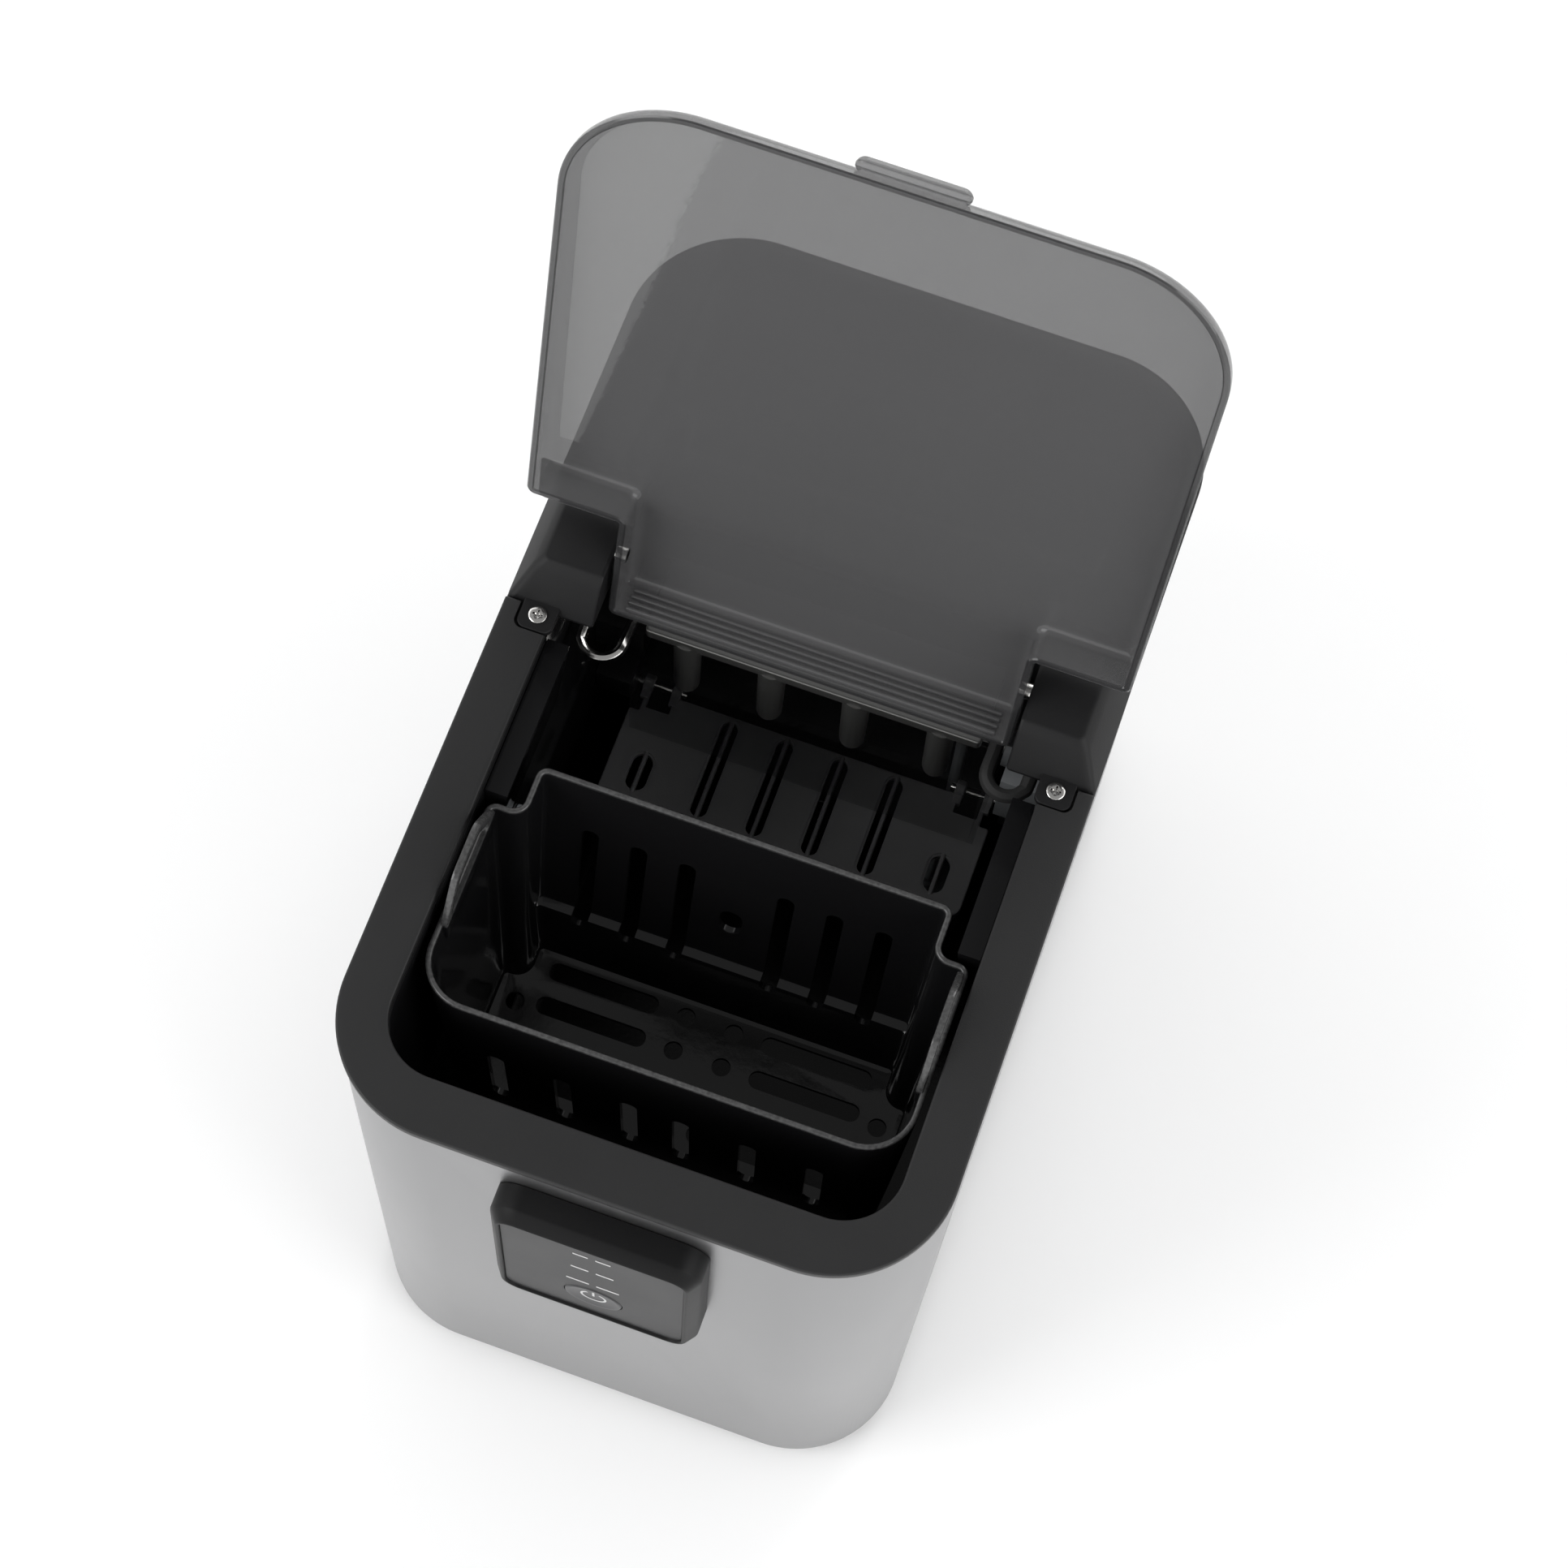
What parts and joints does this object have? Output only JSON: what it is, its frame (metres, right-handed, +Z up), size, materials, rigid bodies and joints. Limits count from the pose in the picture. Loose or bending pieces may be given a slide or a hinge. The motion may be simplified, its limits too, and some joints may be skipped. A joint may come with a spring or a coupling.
{
  "type": "countertop ice maker",
  "caption": "Compact countertop ice maker, lid open: steel wrapped body, dark top frame and liner, lift-out slotted basket, tilting tray, ice shovel and rear cooling circuit.",
  "frame": {"origin": "middle of the bounding box in plan, on the surface that the feet stand on", "axes": "+Z up, front and control panel towards -Y, +X to the right when seen from the front"},
  "size_m": [0.224, 0.392, 0.5408],
  "materials": {
    "brushed_steel": "fine vertical brushing, satin",
    "grey_metal": "smooth grey paint",
    "frame_black": "fine spark texture, matt",
    "housing_black": "matt, finer than the frame",
    "fascia_grey": null,
    "button_grey": "satin",
    "smoked_clear": "smoked clear acrylic",
    "liner_black": "glossy",
    "basket_black": "glossy, fine scratches",
    "shovel_black": "satin",
    "moulding_black": "semi-gloss",
    "cold_metal": "nickel plated",
    "bright_metal": "polished",
    "copper": "drawn copper, dull",
    "fin_metal": "mill finish",
    "compressor_black": "black gloss paint",
    "board": "solder mask green",
    "foam": "foamed board",
    "rubber_black": "matt",
    "motor_grey": "matt",
    "hose": "milky silicone",
    "lamp_lens": "clear lens, unlit"
  },
  "bodies": {
    "cabinet": {"base_pan": "grey_metal", "basket_rail_left": "liner_black", "basket_rail_right": "liner_black", "compressor": "compressor_black", "compressor_stand": "grey_metal", "condenser": "fin_metal", "control_board": "board", "control_fascia": "fascia_grey", "control_housing": "housing_black", "cord_gland": "rubber_black", "cover_screw_left": "bright_metal", "cover_screw_right": "bright_metal", "discharge_tube": "copper", "drain_tube": "hose", "evaporator": "cold_metal", "evaporator_cover": "moulding_black", "evaporator_tube": "bright_metal", "fan_bracket": "grey_metal", "fan_motor": "motor_grey", "fan_shroud": "moulding_black", "filter_drier": "copper", "foot_front_left": "rubber_black", "foot_front_right": "rubber_black", "foot_rear_left": "rubber_black", "foot_rear_right": "rubber_black", "hot_gas_tube": "copper", "hot_gas_valve": "copper", "ice_sensor_left": "lamp_lens", "ice_sensor_right": "lamp_lens", "insulation_jacket": "foam", "lid_pin_left": "bright_metal", "lid_pin_right": "bright_metal", "liner_tub": "liner_black", "power_board": "board", "pump_hose": "hose", "rear_cover": "frame_black", "rear_panel": "grey_metal", "shovel_bracket_left": "moulding_black", "shovel_bracket_right": "moulding_black", "shovel_rod_left": "bright_metal", "shovel_rod_right": "bright_metal", "status_lamp_1": "lamp_lens", "status_lamp_2": "lamp_lens", "status_lamp_3": "lamp_lens", "suction_sleeve": "rubber_black", "suction_tube": "copper", "top_frame": "frame_black", "transformer": "motor_grey", "tray_bearing": "moulding_black", "tray_motor": "motor_grey", "water_pump": "motor_grey", "wrapper_shell": "brushed_steel"},
    "lid": {"lid": "smoked_clear"},
    "basket": {"ice_basket": "basket_black"},
    "power_key": {"power_button": "button_grey"},
    "tray": {"water_tray": "smoked_clear", "tray_shaft": "bright_metal"},
    "shovel": {"ice_shovel": "shovel_black"},
    "fan": {"fan_wheel": "motor_grey"},
    "drain_stopper": {"drain_cap": "rubber_black"}
  },
  "joints": [
    {"name": "lid_hinge", "type": "hinge", "parent": "cabinet", "child": "lid", "pos_m": [0, 0.0416, 0.318], "axis": [1, 0, 0], "range_deg": [0, 104.5]},
    {"name": "basket_lift", "type": "slide", "parent": "cabinet", "child": "basket", "axis": [0, 0, 1], "range_m": [0, 0.27]},
    {"name": "power_press", "type": "slide", "parent": "cabinet", "child": "power_key", "axis": [0, 1, 0], "range_m": [0, 0.0012], "stiffness_N_per_m": 900},
    {"name": "tray_turn", "type": "hinge", "parent": "cabinet", "child": "tray", "pos_m": [0, 0.064, 0.211], "axis": [1, 0, 0], "range_deg": [-85, 0]},
    {"name": "shovel_turn", "type": "hinge", "parent": "cabinet", "child": "shovel", "pos_m": [0, 0.06, 0.165], "axis": [1, 0, 0], "range_deg": [-34, 0]},
    {"name": "fan_spin", "type": "hinge", "parent": "cabinet", "child": "fan", "pos_m": [0.045, 0.134, 0.086], "axis": [0, 1, 0], "continuous": true},
    {"name": "drain_pull", "type": "slide", "parent": "cabinet", "child": "drain_stopper", "axis": [0, 1, 0], "range_m": [0, 0.03]}
  ],
  "couplings": [
    {"joint": "shovel_turn", "follows": "tray_turn", "ratio": 0.4}
  ]
}
